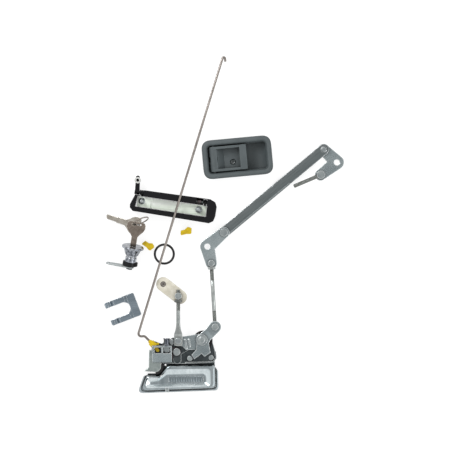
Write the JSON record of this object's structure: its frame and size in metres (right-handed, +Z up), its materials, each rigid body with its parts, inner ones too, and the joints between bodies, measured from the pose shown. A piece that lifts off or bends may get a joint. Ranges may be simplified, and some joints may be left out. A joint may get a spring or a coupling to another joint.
{
  "type": "excavator door lock",
  "caption": "Cab door lock kit laid flat: rotary latch with pawl and levers, rod linkage with cranks, inner and outer handles, key lock with keys.",
  "frame": {"origin": "middle of the laid-out kit's outline on the bench", "axes": "+X right, +Y up the layout, +Z up from the bench"},
  "size_m": [0.3592, 0.5036, 0.0385],
  "materials": {
    "zinc": "bright zinc plated sheet",
    "rod_steel": "drawn steel rod",
    "dark_steel": "oiled spring steel",
    "chrome": "polished chrome",
    "nickel": "nickel plated brass",
    "black_metal": "black powder coat",
    "slate_plastic": "grained slate grey plastic",
    "ivory_plastic": "ivory acetal",
    "yellow_plastic": "yellow moulded clip",
    "grey_plastic": "grey nylon",
    "rubber": "black rubber"
  },
  "bodies": {
    "latch_base": {"back_plate": "zinc", "latch_cover": "zinc", "mechanism_plate": "zinc", "spacer_posts": "zinc", "release_pivot": "zinc", "friction_disc": "slate_plastic", "window_bracket": "zinc", "spring_barrel": "dark_steel", "claw_pin": "zinc", "claw_spring": "dark_steel", "lock_pivot": "zinc", "pawl_spring": "dark_steel", "loose_rod_clips": "yellow_plastic", "inner_bezel": "slate_plastic", "inner_screw": "dark_steel", "inner_pin": "zinc", "inner_spring": "dark_steel", "outer_frame": "black_metal", "outer_plate": "zinc", "outer_studs": "zinc", "outer_spring": "dark_steel", "lock_housing": "chrome", "gasket": "rubber", "retaining_clip": "zinc"},
    "claw": {"latch_claw": "zinc", "claw_bumper": "rubber"},
    "pawl": {"pawl": "dark_steel", "pawl_shaft": "zinc", "pawl_lever": "zinc"},
    "handle_lever": {"handle_lever": "zinc", "push_rod_rivet": "zinc"},
    "push_rod": {"push_rod": "rod_steel", "push_rod_nut": "rod_steel", "transfer_trunnion": "zinc"},
    "transfer_link": {"transfer_link": "ivory_plastic", "link_stud": "rod_steel"},
    "release_lever": {"release_lever": "zinc"},
    "link_rod": {"link_rod": "rod_steel", "link_nut": "rod_steel", "link_trunnions": "zinc"},
    "bell_crank": {"bell_crank": "zinc"},
    "flat_bar": {"flat_bar": "zinc", "bar_rivets": "zinc"},
    "end_crank": {"end_crank": "zinc"},
    "stub_rod": {"stub_rod": "rod_steel", "stub_trunnion": "zinc"},
    "lock_lever": {"lock_lever": "dark_steel"},
    "lock_rod": {"lock_rod": "rod_steel", "latch_rod_clip": "yellow_plastic"},
    "inner_lever": {"inner_lever": "slate_plastic"},
    "outer_grip": {"outer_grip": "black_metal", "outer_shaft": "zinc", "outer_arm": "black_metal", "arm_bush": "grey_plastic"},
    "lock_plug": {"lock_plug": "chrome", "cam_lever": "zinc", "cam_nut": "zinc", "key": "nickel", "spare_key": "nickel", "key_ring": "nickel"}
  },
  "joints": [
    {"name": "claw_turn", "type": "hinge", "parent": "latch_base", "child": "claw", "pos_m": [-0.096, -0.196, 0.007], "axis": [0, 0, 1], "range_deg": [-35, 0], "stiffness_Nm_per_rad": 0.02},
    {"name": "handle_lever_turn", "type": "hinge", "parent": "latch_base", "child": "handle_lever", "pos_m": [-0.034, -0.172, 0.02], "axis": [0, 0, 1], "range_deg": [-15, 0], "stiffness_Nm_per_rad": 0.05},
    {"name": "pawl_turn", "type": "hinge", "parent": "latch_base", "child": "pawl", "pos_m": [-0.0715, -0.19, 0.012], "axis": [0, 0, 1], "range_deg": [0, 15]},
    {"name": "push_rod_swing", "type": "hinge", "parent": "handle_lever", "child": "push_rod", "pos_m": [-0.0691, -0.1735, 0.023], "axis": [0, 0, 1], "range_deg": [0, 15]},
    {"name": "transfer_link_swing", "type": "hinge", "parent": "push_rod", "child": "transfer_link", "pos_m": [-0.0691, -0.1067, 0.016], "axis": [0, 0, 1], "range_deg": [-40, 40]},
    {"name": "release_lever_turn", "type": "hinge", "parent": "latch_base", "child": "release_lever", "pos_m": [-0.034, -0.172, 0.023], "axis": [0, 0, 1], "range_deg": [-20, 0], "stiffness_Nm_per_rad": 0.05},
    {"name": "link_rod_swing", "type": "hinge", "parent": "release_lever", "child": "link_rod", "pos_m": [-0.0143, -0.153, 0.019], "axis": [0, 0, 1], "range_deg": [0, 20]},
    {"name": "bell_crank_swing", "type": "hinge", "parent": "link_rod", "child": "bell_crank", "pos_m": [-0.02, -0.058, 0.008], "axis": [0, 0, 1], "range_deg": [-30, 0]},
    {"name": "flat_bar_swing", "type": "hinge", "parent": "bell_crank", "child": "flat_bar", "pos_m": [-0.0013, -0.0123, 0.006], "axis": [0, 0, 1], "range_deg": [-45, 0]},
    {"name": "end_crank_swing", "type": "hinge", "parent": "flat_bar", "child": "end_crank", "pos_m": [0.1483, 0.1122, 0.003], "axis": [0, 0, 1], "range_deg": [-15, 60]},
    {"name": "stub_rod_swing", "type": "hinge", "parent": "end_crank", "child": "stub_rod", "pos_m": [0.1438, 0.074, 0.006], "axis": [0, 0, 1], "range_deg": [-40, 40]},
    {"name": "lock_lever_turn", "type": "hinge", "parent": "latch_base", "child": "lock_lever", "pos_m": [-0.0865, -0.187, 0.018], "axis": [0, 0, 1], "range_deg": [-20, 0]},
    {"name": "lock_rod_swing", "type": "hinge", "parent": "lock_lever", "child": "lock_rod", "pos_m": [-0.10675, -0.17875, 0.02], "axis": [0, 0, 1], "range_deg": [0, 20]},
    {"name": "inner_lever_pull", "type": "hinge", "parent": "latch_base", "child": "inner_lever", "pos_m": [-0.01645, 0.09652, 0.0165], "axis": [0.0924, -0.9957, 0], "range_deg": [0, 40], "stiffness_Nm_per_rad": 0.08},
    {"name": "outer_grip_pull", "type": "hinge", "parent": "latch_base", "child": "outer_grip", "pos_m": [-0.07551, 0.04005, 0.01], "axis": [0.989, -0.1478, 0], "range_deg": [0, 30], "stiffness_Nm_per_rad": 0.08},
    {"name": "plug_turn", "type": "hinge", "parent": "latch_base", "child": "lock_plug", "pos_m": [-0.1367, -0.0325, 0.01679], "axis": [0.1685, 0.9556, 0.2419], "range_deg": [0, 45]}
  ],
  "couplings": [
    {"joint": "pawl_turn", "follows": "handle_lever_turn", "ratio": -1},
    {"joint": "push_rod_swing", "follows": "handle_lever_turn", "ratio": -1},
    {"joint": "link_rod_swing", "follows": "release_lever_turn", "ratio": -1},
    {"joint": "lock_rod_swing", "follows": "lock_lever_turn", "ratio": -1}
  ]
}
